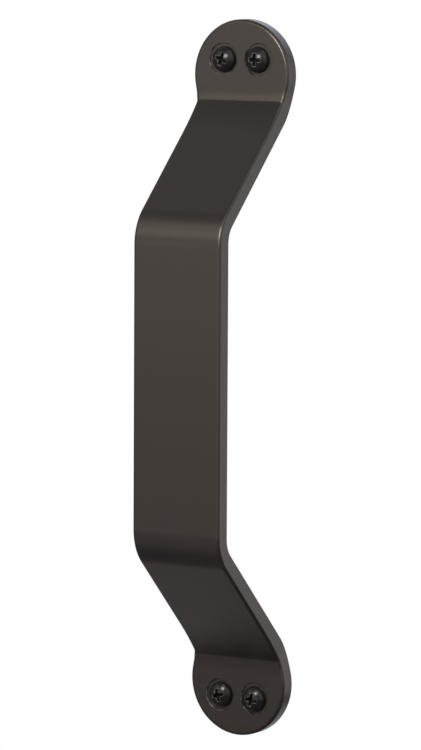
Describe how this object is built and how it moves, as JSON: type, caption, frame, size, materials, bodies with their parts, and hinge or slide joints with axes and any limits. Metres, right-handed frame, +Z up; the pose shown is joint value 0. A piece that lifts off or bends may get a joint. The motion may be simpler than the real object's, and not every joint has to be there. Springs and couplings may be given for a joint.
{
  "type": "barn door pull",
  "caption": "Flat-bar barn door pull: one bent bar whose round ends lie on the door, slanted legs and an upright grip, held by pan-head screws.",
  "frame": {"origin": "centre of the mounting plane, which is the back of both discs, midway between the four screws", "axes": "+Z up along the grip, +Y into the door along the screws, +X to the right as seen by the hand that pulls"},
  "size_m": [0.039, 0.0606, 0.254],
  "materials": {
    "bronze_coat": "satin dark bronze coat on steel",
    "black_screw": "semi-gloss black coat on steel"
  },
  "bodies": {
    "root": {"pull_bar": "bronze_coat", "upper_left_screw": "black_screw", "upper_right_screw": "black_screw", "lower_left_screw": "black_screw", "lower_right_screw": "black_screw"}
  },
  "joints": []
}
